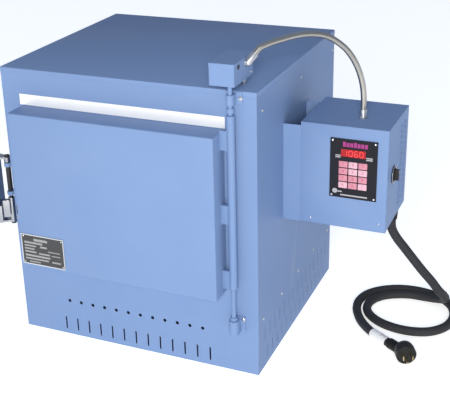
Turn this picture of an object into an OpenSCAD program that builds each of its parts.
// Front-loading electric pottery kiln: a blue sheet-metal case lined with firebrick, a brick-filled
// swing door on a full-height hinge rod, a door switch box and a control box with a digital controller.
// Origin: centre of the case's base. +X to the right, +Y to the back, +Z up. Millimetres.

/* [Case] */
// Width of the case
case_w = 710; // [700:1:730]
// Depth of the case
case_d = 630; // [620:1:640]
// Height of the case
case_h = 771; // [768:1:800]
// Thickness of the sheet-metal panels
sheet = 1.5; // [1.2:0.1:1.6]

/* [Chamber] */
// Width of the firing chamber
chamber_w = 372; // [360:1:376]
// Height of the firing chamber
chamber_h = 280; // [270:1:284]
// Depth of the firing chamber
chamber_d = 463; // [440:1:466]
// Height of the chamber floor above the ground
chamber_z = 315; // [312:1:318]
// Thickness of the firebrick walls
brick_t = 114; // [100:1:114]
// Radius of the coiled heating elements
coil_r = 6; // [5:0.5:6.5]

/* [Door] */
// Width of the door shell
door_w = 570; // [560:1:572]
// Height of the door shell
door_h = 434; // [430:1:440]
// Depth of the door shell
door_d = 68; // [60:1:70]
// Height of the door's lower edge above the ground
door_z = 238; // [232:1:240]
// How far the door's brick plug enters the chamber
plug_d = 34; // [30:1:36]
// Largest opening angle of the door in degrees
door_open = 120; // [90:5:120]

/* [Hinge] */
// Radius of the hinge rod
rod_r = 5.5; // [5:0.5:5.5]
// Outer radius of the hinge barrel
barrel_r = 10; // [9:0.5:11]
// Travel of the door switch's plunger
plunger_travel = 5; // [3:0.5:5]

/* [Control box] */
// Width of the control box
box_w = 224; // [216:1:226]
// Depth of the control box
box_d = 215.5; // [210:0.5:216]
// Height of the control box
box_h = 272; // [268:1:280]
// Gap between the case and the control box
box_gap = 47; // [44:1:50]

/* [Power cord] */
// Radius of the rubber power cord
cord_r = 12.5; // [10:0.5:13]
// Radius of the flexible metal conduit
conduit_r = 7.5; // [6:0.5:8]

/* [Hidden] */
$fn = 48;

// Finishes
blue = [0.48, 0.60, 0.84];
steel = [0.72, 0.73, 0.75];
brick = [0.93, 0.87, 0.74];
black = [0.06, 0.06, 0.07];

// Case
x1 = case_w / 2;
y1 = case_d / 2;
front_y = -y1;
in_x = x1 - sheet;
in_y = y1 - sheet;
slack = 0.5;
deck_z = 146;
deck_t = 2;
tray_h = 12;
tray_t = 2;

// Chamber and its lining
door_x0 = -299;
door_x1 = door_x0 + door_w;
mid_x = (door_x0 + door_x1) / 2;
ch_x0 = mid_x - chamber_w / 2;
ch_x1 = mid_x + chamber_w / 2;
ch_z0 = chamber_z;
ch_z1 = chamber_z + chamber_h;
ch_y0 = -in_y + slack;
ch_y1 = ch_y0 + chamber_d;
lining_x0 = ch_x0 - brick_t;
lining_x1 = ch_x1 + brick_t;
lining_z0 = ch_z0 - brick_t;
lining_z1 = ch_z1 + brick_t;
lining_y1 = ch_y1 + brick_t;
mouth = 40;
row_pitch = 70;
row_z = ch_z0 + 35;
coil_inset = 3;
groove_r = coil_r + 1.5;
tail_r = 3;
coil_front = ch_y0 + 62;
coil_back = ch_y1 - 14;
probe_z = ch_z0 + chamber_h / 2;
probe_y = 20;

// Vents
hole_pitch = 36.8;
hole_count = 12;
vent_pitch = 38;

// Door and hinge
hinge_x = 297;
hinge_y = front_y - 21;
door_z1 = door_z + door_h;
door_back = front_y - 2;
door_front = door_back - door_d;
plug_gap = 8;
tab_heights = [281, 460, 653];
run = 0.05;
barrel_z0 = 258;
barrel_z1 = 716;
lower_z = 126;
lower_h = 39;
upper_z = 742;
upper_h = 25;

// Door switch box
sw_x0 = 253;
sw_x1 = 316;
sw_y0 = front_y - 40;
sw_y1 = front_y + 80;
sw_z0 = case_h + 20;
sw_z1 = sw_z0 + 54;
sw_t = 1.2;
cam_z = sw_z0 + 14;
cam_h = 8;
cam_r = 16;
plunger_z = cam_z + cam_h / 2;
plunger_r = 3;
tip_gap = 0.3;

// Latch
pin_x = -x1 - 21;
pin_y = front_y + 15;
pin_r = 5;
hub_r = 9;
latch_turn = 60;
hook_z = 335;
hook_h = 50;
lug_z = [400, 484];
lug_h = 11;
bar_x0 = pin_x - 32;
bar_y0 = pin_y - 26;
bar_y1 = pin_y + 14;
arm_z0 = 320;
arm_z1 = 512;
arm_t = 5;
strike_back = 18;
strike_t = 6;

// Control box
cb_x0 = x1 + box_gap;
cb_x1 = cb_x0 + box_w;
cb_y0 = -128.5;
cb_y1 = cb_y0 + box_d;
cb_z0 = 372;
cb_z1 = cb_z0 + box_h;
plate_x0 = 479.6;
plate_w = 120.6;
plate_z0 = 454.4;
plate_h = 158.6;
plate_t = 2;
key_w = 22.5;
key_h = 16.2;
key_dx = 25;
key_dz = 18.6;
key_x = 539;
key_z = 517.3;
keypad_w = 80;
keypad_h = 78;
display_z = 576;
display_w = 63;
display_h = 20;
knob_y = -64;
knob_z = 508;
louvre_pitch = 15;
louvre_w = 26;
louvre_z = 398;

// Conduit: route of its centre line from the switch box's elbow to the control box's top
conduit_route = [[334, -269, 850], [340, -262, 859], [347, -255, 865], [362, -240, 871], [380, -220, 875],
                 [402, -196, 879], [425, -172, 880], [447, -149, 876], [468, -127, 866], [487, -106, 848],
                 [504, -88, 826], [519, -73, 797], [530, -61, 764], [537, -53, 729], [540, -50, 695],
                 [540, -50, 668]];
fitting_r = 9.5;
elbow_l = 26;
elbow_dir = (conduit_route[1] - conduit_route[0]) / norm(conduit_route[1] - conduit_route[0]);
elbow = conduit_route[0] - elbow_l * elbow_dir;

// Power cord: route of its centre line from the gland, down and round on the floor to the plug
gland_x = 602;
gland_y = 54;
gland_l = 42;
cord_route = [[602, 54, 330], [602, 54, 313], [606, 56, 294], [619, 61, 269], [640, 68, 239],
              [664, 76, 205], [689, 86, 169], [713, 100, 134], [732, 112, 102], [743, 139, 74],
              [743, 167, 50], [731, 191, 32], [706, 210, 19], [672, 219, 13], [634, 218, 13],
              [597, 206, 13], [564, 186, 13], [541, 156, 13], [532, 120, 13], [539, 84, 13],
              [562, 53, 13], [597, 30, 13], [640, 18, 13], [686, 19, 13], [728, 35, 13],
              [759, 68, 13], [773, 110, 13], [771, 158, 13], [752, 202, 13], [713, 235, 13],
              [660, 249, 13], [603, 244, 13], [554, 220, 13], [519, 183, 13], [503, 138, 13],
              [506, 91, 13], [524, 45, 13], [548, 8, 13], [584, -29, 13.5], [609, -45, 13.5],
              [634, -61, 13.5]];
tag_t = 0.8;
tag_end = 4;
plug_turn = -31;
neck_l = 56;
neck_r = 15;
plug_r = 27;
plug_l = 40;

// ---------------------------------------------------------------- helpers

// Box given by its lowest and highest corners
module span(low, high) {
    translate(low)
        cube(high - low);
}

// Round bar along X, Y or Z starting at a point
module bar_x(p, r, l) {
    translate(p)
        rotate([0, 90, 0])
            cylinder(r = r, h = l);
}

module bar_y(p, r, l) {
    translate(p)
        rotate([-90, 0, 0])
            cylinder(r = r, h = l);
}

module bar_z(p, r, l) {
    translate(p)
        cylinder(r = r, h = l);
}

// Vertical slot with round ends cut through a panel that faces Y (turn = 0) or X (turn = 90)
module slot(x, y, z0, z1, width, turn = 0) {
    translate([x, y, 0])
        rotate([0, 0, turn])
            union() {
                span([-width / 2, -4, z0 + width / 2], [width / 2, 4, z1 - width / 2]);
                for (z = [z0 + width / 2, z1 - width / 2])
                    bar_y([0, -4, z], width / 2, 8, $fn = 16);
            }
}

// Pan-head screw whose head faces along +Z before it is turned
module screw_head(p, turn, r = 4, h = 2.2) {
    translate(p)
        rotate(turn)
            difference() {
                union() {
                    cylinder(r = r, h = h * 0.55, $fn = 24);
                    cylinder(r = r * 0.72, h = h, $fn = 24);
                }
                translate([-r, -0.4, h - 0.8])
                    cube([2 * r, 0.8, 2]);
            }
}

// Hexagon bolt head with a washer, facing along +Z before it is turned
module bolt_head(p, turn, r = 7) {
    translate(p)
        rotate(turn)
            union() {
                cylinder(r = r * 1.35, h = 1.2, $fn = 32);
                cylinder(r = r, h = 6, $fn = 6);
            }
}

// Point of a smooth curve through four route points at parameter t
function blend4(a, b, c, d, t) =
    0.5 * (2 * b + (c - a) * t + (2 * a - 5 * b + 4 * c - d) * t * t
           + (3 * b - a - 3 * c + d) * t * t * t);

// Route with one more point worked out between each pair
function refine(p) =
    [for (i = [0 : len(p) - 2])
         for (t = [0, 0.5])
             blend4(p[max(i - 1, 0)], p[i], p[i + 1], p[min(i + 2, len(p) - 1)], t),
     p[len(p) - 1]];

function unit(v) = v / norm(v);

// Direction of the route at point i
function heading(p, i) =
    unit(p[min(i + 1, len(p) - 1)] - p[max(i - 1, 0)]);

// Side vector of the ring at point i: level, and square to the route
function side(p, i) =
    let (h = heading(p, i))
        unit(cross(h, abs(h.z) > 0.98 ? [0, 1, 0] : [0, 0, 1]));

// Rings of a round tube along a route
function rings(p, r, sides) =
    [for (i = [0 : len(p) - 1])
         let (h = heading(p, i), s = side(p, i), u = cross(s, h))
             for (k = [0 : sides - 1])
                 p[i] + r * (cos(360 * k / sides) * s + sin(360 * k / sides) * u)];

// Closed tube swept along a route
module tube_along(p, r, sides) {
    n = len(p);
    walls = [for (i = [0 : n - 2])
                 for (k = [0 : sides - 1])
                     [i * sides + k, i * sides + (k + 1) % sides,
                      (i + 1) * sides + (k + 1) % sides, (i + 1) * sides + k]];
    ends = [[for (k = [sides - 1 : -1 : 0]) k],
            [for (k = [0 : sides - 1]) (n - 1) * sides + k]];
    polyhedron(points = rings(p, r, sides), faces = concat(walls, ends));
}

// ---------------------------------------------------------------- case

// Floor tray that the kiln stands on, with its edges turned up inside the panels
module base_tray() {
    color(steel)
        difference() {
            span([-in_x + slack, -in_y + slack, 0], [in_x - slack, in_y - slack, tray_h]);
            span([-in_x + slack + tray_t, -in_y + slack + tray_t, tray_t],
                 [in_x - slack - tray_t, in_y - slack - tray_t, tray_h + 1]);
        }
}

// Two staggered rows of vent slots at the foot of a side wall
module side_vents(x) {
    for (i = [-7 : 7])
        slot(x, i * vent_pitch, 73, 118, 4.5, 90);
    for (i = [-7 : 6])
        slot(x, (i + 0.5) * vent_pitch, 19, 55, 4.5, 90);
}

module side_panel_left() {
    color(blue)
        difference() {
            span([-x1, -y1, 0], [-in_x, y1, case_h - sheet]);
            side_vents(-x1);
        }
}

module side_panel_right() {
    color(blue)
        difference() {
            span([in_x, -y1, 0], [x1, y1, case_h - sheet]);
            side_vents(x1);
            bar_x([in_x - 1, 20, probe_z], 12, 5);
        }
}

// Front wall with the door's mouth, a row of round holes and a row of slots
module front_panel() {
    color(blue)
        difference() {
            span([-in_x, -y1, 0], [in_x, -in_y, case_h - sheet]);
            span([ch_x0 - mouth, -y1 - 1, ch_z0 - mouth], [ch_x1 + mouth, -in_y + 1, ch_z1 + mouth]);
            for (i = [0 : hole_count - 1])
                bar_y([(i - (hole_count - 1) / 2) * hole_pitch - 4.3, -y1 - 1, 108], 4.8, 4, $fn = 24);
            for (i = [0 : hole_count])
                slot((i - hole_count / 2) * hole_pitch - 2.7, -y1, 15, 54, 4.5);
        }
}

module back_panel() {
    color(blue)
        difference() {
            span([-in_x, in_y, 0], [in_x, y1, case_h - sheet]);
            for (i = [-6 : 6])
                slot(i * vent_pitch, y1, 60, 110, 4.5);
            for (i = [-6 : 6])
                slot(i * vent_pitch, y1, 650, 700, 4.5);
        }
}

module top_panel() {
    color(blue)
        span([-x1, -y1, case_h - sheet], [x1, y1, case_h]);
}

// Steel deck that carries the brickwork above the vented base
module base_deck() {
    color(steel)
        span([-in_x + slack, -in_y + slack, deck_z], [in_x - slack, in_y - slack, deck_z + deck_t]);
}

// One hairpin of element: two level runs, a bend at the front and two tails out through the wall
module hairpin(r, out) {
    for (z = [0, row_pitch]) {
        bar_y([0, coil_front, z], r, coil_back - coil_front);
        bar_x([out > 0 ? 0 : -brick_t - 14, coil_back - coil_r, z], r * tail_r / coil_r, brick_t + 14);
    }
    bar_z([0, coil_front, 0], r, row_pitch);
    for (z = [0, row_pitch])
        translate([0, coil_front, z])
            sphere(r = r);
}

// All four hairpins, on the left and the right wall, with coils of radius r
module hairpins(r) {
    for (side_of = [[ch_x0 - coil_inset, -1], [ch_x1 + coil_inset, 1]])
        for (pair = [0, 1])
            translate([side_of[0], 0, row_z + 2 * pair * row_pitch])
                hairpin(r, side_of[1]);
}

// Thermocouple sheath and the connection head behind the wall
module probe(r, head) {
    bar_x([ch_x1 - 30, probe_y, probe_z], r, brick_t + 40);
    bar_x([lining_x1 + 10, probe_y, probe_z], head, 40);
}

// Fibre slabs between the brickwork and the steel
module insulation() {
    in = slack + 0.2;
    color([0.93, 0.92, 0.89])
        difference() {
            union() {
                span([-in_x + in, -in_y + in, deck_z + deck_t + in], [in_x - in, in_y - in, lining_z0 - in]);
                span([-in_x + in, -in_y + in, lining_z1 + in], [in_x - in, in_y - in, case_h - sheet - in]);
                span([-in_x + in, -in_y + in, lining_z0], [lining_x0 - in, in_y - in, lining_z1]);
                span([lining_x1 + in, -in_y + in, lining_z0], [in_x - in, in_y - in, lining_z1]);
                span([lining_x0, lining_y1 + in, lining_z0], [lining_x1, in_y - in, lining_z1]);
            }
            hairpins(groove_r + 1);
            probe(6, 13);
        }
}

module brick_floor() {
    color(brick)
        span([lining_x0, ch_y0, lining_z0], [lining_x1, lining_y1, ch_z0]);
}

module brick_roof() {
    color(brick)
        span([lining_x0, ch_y0, ch_z1], [lining_x1, lining_y1, lining_z1]);
}

// Left and right walls, grooved for the elements
module brick_sides() {
    color(brick)
        difference() {
            union() {
                span([lining_x0, ch_y0, ch_z0], [ch_x0, ch_y1, ch_z1]);
                span([ch_x1, ch_y0, ch_z0], [lining_x1, ch_y1, ch_z1]);
            }
            hairpins(groove_r);
            probe(4.5, 13);
        }
}

module brick_back() {
    color(brick)
        span([lining_x0, ch_y1, ch_z0], [lining_x1, lining_y1, ch_z1]);
}

module heating_elements() {
    color([0.42, 0.36, 0.33])
        hairpins(coil_r);
}

module thermocouple() {
    color([0.85, 0.83, 0.78])
        probe(4, 11);
}

// Bright strip on the front wall that shields the paint above the door
module heat_shield() {
    color([0.93, 0.93, 0.92])
        span([door_x0 - 4, front_y - 1.2, door_z1 + 2], [door_x1 + 3, front_y, door_z1 + 31]);
}

// ---------------------------------------------------------------- hinge

// Bearing block bolted to the front wall, bored for the rod; the blind one carries its end
module bearing(z, h, half_w, bore_z) {
    difference() {
        union() {
            span([hinge_x - 19, front_y - 3, z - 3], [hinge_x + 24, front_y, z + h + 3]);
            span([hinge_x - half_w, hinge_y, z], [hinge_x + half_w, front_y - 3, z + h]);
            bar_z([hinge_x, hinge_y, z], half_w, h);
        }
        bar_z([hinge_x, hinge_y, bore_z], rod_r + run, 60);
    }
}

module hinge_bearings() {
    color(blue)
        union() {
            bearing(lower_z, lower_h, 13, lower_z + 4);
            bearing(upper_z, upper_h, 9.5, upper_z - 20);
        }
}

// Rod with a set collar under the upper bearing and one on the lower bearing
module hinge_rod() {
    color(blue)
        union() {
            bar_z([hinge_x, hinge_y, lower_z + 4.3], rod_r, sw_z0 + 48 - lower_z - 4.3);
            bar_z([hinge_x, hinge_y, upper_z - 20], 8.5, 12);
            bar_z([hinge_x, hinge_y, lower_z + lower_h + 0.4], 9, 9);
        }
}

module hinge_barrel() {
    color(blue)
        difference() {
            bar_z([hinge_x, hinge_y, barrel_z0], barrel_r, barrel_z1 - barrel_z0);
            bar_z([hinge_x, hinge_y, barrel_z0 - 1], rod_r + run, barrel_z1 - barrel_z0 + 2);
        }
}

// Three straps that weld the door's side to the barrel
module hinge_tabs() {
    color(blue)
        difference() {
            for (z = tab_heights)
                span([door_x1, hinge_y - 6, z - 25], [hinge_x - 4, hinge_y + 6, z + 25]);
            bar_z([hinge_x, hinge_y, 200], barrel_r, 540);
        }
}

// ---------------------------------------------------------------- door

module door_shell() {
    color(blue)
        difference() {
            span([door_x0, door_front, door_z], [door_x1, door_back, door_z1]);
            span([door_x0 + sheet, door_front + sheet, door_z + sheet],
                 [door_x1 - sheet, door_back + 1, door_z1 - sheet]);
        }
}

// Brick filling of the shell and the plug that enters the chamber
module door_bricks() {
    in = sheet + 0.2;
    color(brick)
        union() {
            span([door_x0 + in, door_front + in, door_z + in], [door_x1 - in, door_back, door_z1 - in]);
            span([ch_x0 + plug_gap, door_back, ch_z0 + plug_gap],
                 [ch_x1 - plug_gap, door_back + plug_d, ch_z1 - plug_gap]);
        }
}

// Fibre rope seal between the door bricks and the front of the lining
module door_gasket() {
    color([0.95, 0.95, 0.93])
        difference() {
            span([ch_x0 - mouth + 8, door_back, ch_z0 - mouth + 8],
                 [ch_x1 + mouth - 8, door_back + 3.4, ch_z1 + mouth - 8]);
            span([ch_x0 - 5, door_back - 1, ch_z0 - 5], [ch_x1 + 5, door_back + 5, ch_z1 + 5]);
        }
}

module nameplate() {
    color([0.12, 0.12, 0.13])
        span([door_x0 + 3, door_front - 1, door_z + 8], [door_x0 + 135, door_front, door_z + 97]);
}

// ---------------------------------------------------------------- door switch

// Base of the switch box: floor, front and back in one bent sheet
module switch_box() {
    color(blue)
        difference() {
            span([sw_x0 + sw_t, sw_y0, sw_z0], [sw_x1 - sw_t, sw_y1, sw_z1 - sw_t]);
            span([sw_x0, sw_y0 + sw_t, sw_z0 + sw_t], [sw_x1, sw_y1 - sw_t, sw_z1]);
            bar_z([hinge_x, hinge_y, sw_z0 - 1], rod_r + 2.5, 4);
        }
}

// Cover of the switch box: top and both sides in one bent sheet
module switch_box_cover() {
    color(blue)
        difference() {
            span([sw_x0, sw_y0, sw_z0], [sw_x1, sw_y1, sw_z1]);
            span([sw_x0 + sw_t, sw_y0 - 1, sw_z0 - 1], [sw_x1 - sw_t, sw_y1 + 1, sw_z1 - sw_t]);
            bar_x([sw_x1 - 3, elbow.y, elbow.z], 8, 6);
            bar_x([sw_x1 - 3, sw_y0 + 26, elbow.z + 1], 4, 6);
        }
}

// Radius of the cam at an angle: a steady fall over the door's swing, then back up
function cam_radius(a) =
    a <= 90 ? cam_r - plunger_travel * (90 - a) / door_open
    : a <= 120 ? cam_r
    : cam_r - plunger_travel * (a - 120) / (360 - 120 + 90 - door_open);

module switch_cam() {
    color(steel)
        difference() {
            translate([hinge_x, hinge_y, cam_z])
                linear_extrude(height = cam_h)
                    polygon([for (a = [90 - door_open : 5 : 445 - door_open])
                                 cam_radius(a) * [cos(a), sin(a)]]);
            bar_z([hinge_x, hinge_y, cam_z - 1], rod_r, cam_h + 2);
        }
}

// Body of the door switch, bored for its plunger
module limit_switch() {
    color(black)
        difference() {
            span([hinge_x - 12, hinge_y + 30, sw_z0 + sw_t], [hinge_x + 12, hinge_y + 72, plunger_z + 12]);
            bar_y([hinge_x, hinge_y + 20, plunger_z], plunger_r + run, 32);
        }
}

module switch_plunger() {
    tip = cam_r + tip_gap + plunger_r;
    color([0.85, 0.2, 0.15])
        union() {
            bar_y([hinge_x, hinge_y + tip, plunger_z], plunger_r, 46 - tip);
            translate([hinge_x, hinge_y + tip, plunger_z])
                sphere(r = plunger_r);
        }
}

// ---------------------------------------------------------------- latch

// Bracket on the left wall with two lugs that hold the latch pin
module latch_bracket() {
    color(blue)
        difference() {
            union() {
                span([-x1 - 4, pin_y + 16, lug_z[0] - 6], [-x1, pin_y + 80, lug_z[1] + lug_h + 6]);
                for (z = lug_z) {
                    span([pin_x - 4, pin_y, z], [-x1, pin_y + 20, z + lug_h]);
                    bar_z([pin_x, pin_y, z], 10, lug_h);
                }
            }
            bar_z([pin_x, pin_y, lug_z[0] - 5], pin_r, 110);
        }
}

// Blackened pin with a thick waist between the lugs and a head at each end
module latch_pin() {
    waist_z = lug_z[0] + lug_h;
    color(black)
        union() {
            bar_z([pin_x, pin_y, arm_z0 - 3], pin_r, arm_z1 - arm_z0 + 6);
            bar_z([pin_x, pin_y, waist_z], 7, lug_z[1] - waist_z);
            bar_z([pin_x, pin_y, arm_z1 + 1], 7.5, 4);
            bar_z([pin_x, pin_y, arm_z0 - 5], 7.5, 4);
        }
}

// Arm of the strap handle: an eye round the pin that widens to the grip
module latch_arm(z) {
    translate([0, 0, z])
        linear_extrude(height = arm_t)
            union() {
                polygon([[bar_x0, bar_y0], [pin_x - 2, pin_y - hub_r],
                         [pin_x, pin_y + hub_r], [bar_x0, bar_y1]]);
                translate([pin_x, pin_y])
                    circle(r = hub_r);
            }
}

// Bent strap handle that turns on the pin, with a hook plate on its lower hub
module latch_handle() {
    color(steel)
        difference() {
            union() {
                latch_arm(arm_z0);
                latch_arm(arm_z1 - arm_t);
                span([bar_x0 - arm_t, bar_y0, arm_z0], [bar_x0, bar_y1, arm_z1]);
                bar_z([pin_x, pin_y, arm_z0], hub_r, hook_z + hook_h + 8 - arm_z0);
                bar_z([pin_x, pin_y, arm_z1 - 14], hub_r, 14);
                translate([pin_x, pin_y, hook_z])
                    rotate([0, 0, -latch_turn])
                        linear_extrude(height = hook_h)
                            polygon([[-8, 0], [-8, -34.5], [42, -34.5], [42, -24.5], [6, -24.5], [6, 0]]);
            }
            bar_z([pin_x, pin_y, arm_z0 - 10], pin_r + run, arm_z1 - arm_z0 + 20);
        }
}

// Strike on the door's left side that the hook closes over
module latch_strike() {
    back = pin_y - strike_back;
    color(steel)
        union() {
            span([pin_x + 30, back - strike_t, hook_z + 5], [door_x0, back, hook_z + hook_h - 5]);
            span([door_x0 - 4, back - 48, hook_z + 5], [door_x0, back, hook_z + hook_h - 5]);
        }
}

// ---------------------------------------------------------------- control box

// Two bent channels that hold the control box clear of the hot case
module box_standoffs() {
    color(blue)
        for (y = [cb_y0, cb_y1 - 26])
            difference() {
                span([x1, y, cb_z0 - 2], [cb_x0, y + 26, cb_z1 - 9]);
                span([x1 + sheet, y + sheet, cb_z0 - 3], [cb_x0 - sheet, y + 27, cb_z1]);
            }
}

// Housing: four walls and a back, open at the front
module control_box() {
    color(blue)
        difference() {
            span([cb_x0, cb_y0 + sheet, cb_z0], [cb_x1, cb_y1, cb_z1]);
            span([cb_x0 + sheet, cb_y0, cb_z0 + sheet], [cb_x1 - sheet, cb_y1 - sheet, cb_z1 - sheet]);
            for (i = [0 : 14])
                for (y = [10, 50])
                    span([cb_x1 - 3, y - louvre_w / 2, louvre_z + i * louvre_pitch],
                         [cb_x1 + 1, y + louvre_w / 2, louvre_z + i * louvre_pitch + 3]);
            bar_x([cb_x1 - 3, knob_y, knob_z], 12, 6);
            bar_z([conduit_route[14].x, conduit_route[14].y, cb_z1 - 3], 8, 6);
            bar_z([gland_x, gland_y, cb_z0 - 1], 14, 4);
        }
}

// Front cover with a window behind the controller's face
module control_front() {
    color(blue)
        difference() {
            span([cb_x0, cb_y0, cb_z0], [cb_x1, cb_y0 + sheet, cb_z1]);
            span([key_x - keypad_w / 2, cb_y0 - 1, key_z - keypad_h / 2],
                 [key_x + keypad_w / 2, cb_y0 + 3, display_z + display_h / 2 + 3]);
        }
}

// Centre of key n of the 3 by 4 keypad, across and up
function key_at(n) = [key_x + ((n - 1) % 3 - 1) * key_dx, key_z + (1.5 - floor((n - 1) / 3)) * key_dz];

// Black face of the controller, with openings for the display and the keys
module controller_plate() {
    y = cb_y0 - plate_t;
    gap = 0.35;
    color(black)
        difference() {
            span([plate_x0, y, plate_z0], [plate_x0 + plate_w, cb_y0, plate_z0 + plate_h]);
            for (n = [1 : 12])
                span([key_at(n).x - key_w / 2 - gap, y - 1, key_at(n).y - key_h / 2 - gap],
                     [key_at(n).x + key_w / 2 + gap, cb_y0 + 1, key_at(n).y + key_h / 2 + gap]);
            span([key_x - display_w / 2, y - 1, display_z - display_h / 2],
                 [key_x + display_w / 2, cb_y0 + 1, display_z + display_h / 2]);
        }
}

module display_window() {
    color([0.75, 0.05, 0.05])
        span([key_x - display_w / 2 + 0.1, cb_y0 - plate_t - 0.3, display_z - display_h / 2 + 0.1],
             [key_x + display_w / 2 - 0.1, cb_y0, display_z + display_h / 2 - 0.1]);
}

module key(n) {
    y = cb_y0 - plate_t - 0.7;
    color([0.87, 0.60, 0.68])
        span([key_at(n).x - key_w / 2, y, key_at(n).y - key_h / 2],
             [key_at(n).x + key_w / 2, y + 3.4, key_at(n).y + key_h / 2]);
}

// Circuit board behind the cover, with its transformer and output terminals
module controller_board() {
    y = cb_y0 + sheet + 2;
    color([0.1, 0.4, 0.2])
        union() {
            span([key_x - 55, y, 460], [key_x + 55, y + 1.6, 610]);
            span([key_x - 45, y + 1.6, 560], [key_x - 5, y + 36, 600]);
            span([key_x - 50, y + 1.6, 464], [key_x + 50, y + 14, 476]);
        }
}

// Two power relays and the mains terminal block on the back wall
module power_relays() {
    y = cb_y1 - sheet - 1;
    color([0.16, 0.17, 0.20])
        for (x = [430, 500])
            span([x, y - 45, 540], [x + 50, y, 600]);
    color([0.85, 0.85, 0.80])
        span([430, y - 30, 420], [560, y, 450]);
}

// Body of the rotary power switch: bezel outside, block inside, joined by a bush
module power_switch() {
    color(black)
        difference() {
            union() {
                bar_x([cb_x1, knob_y, knob_z], 23, 2.5);
                bar_x([cb_x1 - 8, knob_y, knob_z], 11.5, 9);
                span([cb_x1 - 40, knob_y - 18, knob_z - 18], [cb_x1 - sheet - 0.5, knob_y + 18, knob_z + 18]);
            }
            bar_x([cb_x1 - 22, knob_y, knob_z], 3 + run, 30);
        }
}

// Knob of the power switch with its grip rib and shaft
module power_knob() {
    x = cb_x1 + 2.9;
    color(black)
        union() {
            bar_x([cb_x1 - 21, knob_y, knob_z], 3, 26);
            bar_x([x, knob_y, knob_z], 15.5, 3);
            span([x + 3, knob_y - 4, knob_z - 14], [x + 12, knob_y + 4, knob_z + 14]);
        }
}

// ---------------------------------------------------------------- conduit and cord

module conduit() {
    color(steel)
        tube_along(refine(conduit_route), conduit_r, 12);
}

// Round bar of a given length from a point along a direction
module bar_along(p, dir, r, l) {
    translate(p)
        rotate([0, acos(dir.z), atan2(dir.y, dir.x)])
            cylinder(r = r, h = l);
}

// Elbow on the switch box and straight connector on the control box
module conduit_fittings() {
    foot = conduit_route[len(conduit_route) - 1];
    color([0.62, 0.63, 0.66])
        union() {
            bar_x([sw_x1 - sw_t - 6, elbow.y, elbow.z], 7.8, elbow.x - sw_x1 + sw_t + 6);
            bar_x([sw_x1, elbow.y, elbow.z], 11, 3, $fn = 6);
            translate(elbow)
                sphere(r = fitting_r);
            bar_along(elbow, elbow_dir, fitting_r, elbow_l);
            bar_z([foot.x, foot.y, cb_z1 - 6], 7.8, 10);
            bar_z([foot.x, foot.y, cb_z1], 12, 5, $fn = 6);
            bar_z([foot.x, foot.y, cb_z1 + 5], fitting_r, foot.z - cb_z1 - 5);
        }
}

// Tapered strain relief under the control box
module cord_gland() {
    color(black)
        union() {
            translate([gland_x, gland_y, cb_z0 - gland_l])
                cylinder(r1 = 15, r2 = 18, h = gland_l - 8);
            translate([gland_x, gland_y, cb_z0 - 8])
                cylinder(r = 21, h = 8, $fn = 6);
            bar_z([gland_x, gland_y, cb_z0], 13.8, 10);
        }
}

module power_cord() {
    color(black)
        tube_along(refine(cord_route), cord_r, 10);
}

// White sleeve wrapped round the cord just before the plug, clear of the plug by tag_end
module cord_tag() {
    route = refine(cord_route);
    n = len(route);
    under = [for (i = [n - 7 : n - 1]) route[i]];
    wrap = concat([for (i = [2 : 5]) under[i]],
                  [under[6] - tag_end * unit(under[6] - under[5])]);
    color([0.94, 0.94, 0.93])
        difference() {
            tube_along(wrap, cord_r + tag_t, 10);
            tube_along(under, cord_r + 0.1, 10);
        }
}

// Frame at the cord's end, with +X along the cord
module at_cord_end() {
    last = cord_route[len(cord_route) - 1];
    before = cord_route[len(cord_route) - 2];
    translate(last)
        rotate([0, 0, atan2(last.y - before.y, last.x - before.x)])
            children();
}

// Angled three-pin plug lying on the floor: a neck along the cord, and a round body turned from it
module plug() {
    last = cord_route[len(cord_route) - 1];
    color(black)
        at_cord_end()
            union() {
                rotate([0, 90, 0])
                    cylinder(r1 = cord_r, r2 = last.z - 0.1, h = 8);
                translate([8, 0, neck_r - last.z])
                    rotate([0, 90, 0])
                        cylinder(r = neck_r, h = neck_l);
                plug_body(last.z);
            }
    color([0.8, 0.75, 0.55])
        at_cord_end()
            plug_pins(last.z);
}

// Frame in the middle of the plug's back, with +X towards its pins
module at_plug(cord_z) {
    translate([neck_l, 0, plug_r - cord_z])
        rotate([0, 0, plug_turn])
            children();
}

module plug_body(cord_z) {
    at_plug(cord_z)
        rotate([0, 90, 0])
            union() {
                cylinder(r1 = plug_r - 7, r2 = plug_r, h = 8);
                translate([0, 0, 8])
                    cylinder(r = plug_r, h = plug_l - 8);
            }
}

// Two flat blades and a round earth pin
module plug_pins(cord_z) {
    at_plug(cord_z)
        union() {
            for (y = [-12, 12])
                span([plug_l, y - 1, -4], [plug_l + 19, y + 1, 8]);
            bar_x([plug_l, 0, -11], 3.2, 22);
        }
}

// ---------------------------------------------------------------- fasteners

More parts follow.
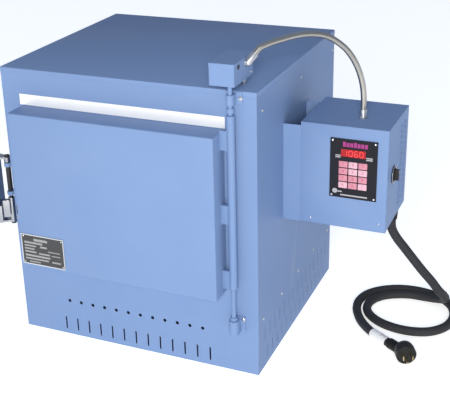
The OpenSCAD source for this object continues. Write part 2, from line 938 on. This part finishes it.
// Screws, bolts and spacers of the case, hinge, latch and boxes
module fasteners() {
    right = [0, 90, 0];
    left = [0, -90, 0];
    front = [90, 0, 0];
    back = [-90, 0, 0];
    color(steel)
        union() {
            for (y = [-277, -137, 3, 143, 283])
                for (s = [-1, 1])
                    screw_head([s * x1, y, 149], s > 0 ? right : left);
            for (y = [-275, 14, 300])
                for (s = [-1, 1])
                    screw_head([s * x1, y, 715], s > 0 ? right : left);
            for (x = [-330, 0, 330])
                for (z = [20, 400, 740])
                    screw_head([x, y1, z], back);
            for (z = [lower_z + lower_h - 5, upper_z + 12])
                bolt_head([hinge_x + 18.5, front_y - 3, z], front, 4);
            for (z = [lug_z[0] + 8, lug_z[1] + 3])
                bolt_head([-x1 - 4, pin_y + 56, z], left, 5);
            for (y = [cb_y0 + 14, cb_y1 - 12])
                for (z = [390, 610])
                    bolt_head([x1 + sheet, y, z], right, 5);
            for (p = [[430, 385], [609, 394]])
                screw_head([p[0], cb_y0, p[1]], front, 2.5, 1.6);
            for (x = [plate_x0 + 6, plate_x0 + plate_w - 6])
                for (z = [plate_z0 + 6, plate_z0 + plate_h - 6])
                    screw_head([x, cb_y0 - plate_t, z], front, 3, 1.6);
            screw_head([sw_x1, sw_y1 - 14, sw_z0 + 9], right, 3.5);
            for (x = [sw_x0 + 14, sw_x1 - 14])
                bar_z([x, sw_y1 - 24, case_h], 6, 20);
        }
}

// ---------------------------------------------------------------- drawing

base_tray();
side_panel_left();
side_panel_right();
front_panel();
back_panel();
top_panel();
base_deck();
insulation();
brick_floor();
brick_roof();
brick_sides();
brick_back();
heating_elements();
thermocouple();
heat_shield();
hinge_bearings();
switch_box();
switch_box_cover();
limit_switch();
latch_bracket();
latch_pin();
box_standoffs();
control_box();
control_front();
controller_plate();
controller_board();
display_window();
power_relays();
power_switch();
conduit();
conduit_fittings();
cord_gland();
power_cord();
plug();
cord_tag();
fasteners();
door_shell();
door_bricks();
door_gasket();
nameplate();
hinge_tabs();
hinge_barrel();
hinge_rod();
switch_cam();
latch_strike();
latch_handle();
switch_plunger();
power_knob();
key(1);  // key_1
key(2);  // key_2
key(3);  // key_3
key(4);  // key_4
key(5);  // key_5
key(6);  // key_6
key(7);  // key_7
key(8);  // key_8
key(9);  // key_9
key(10);  // key_10
key(11);  // key_11
key(12);  // key_12
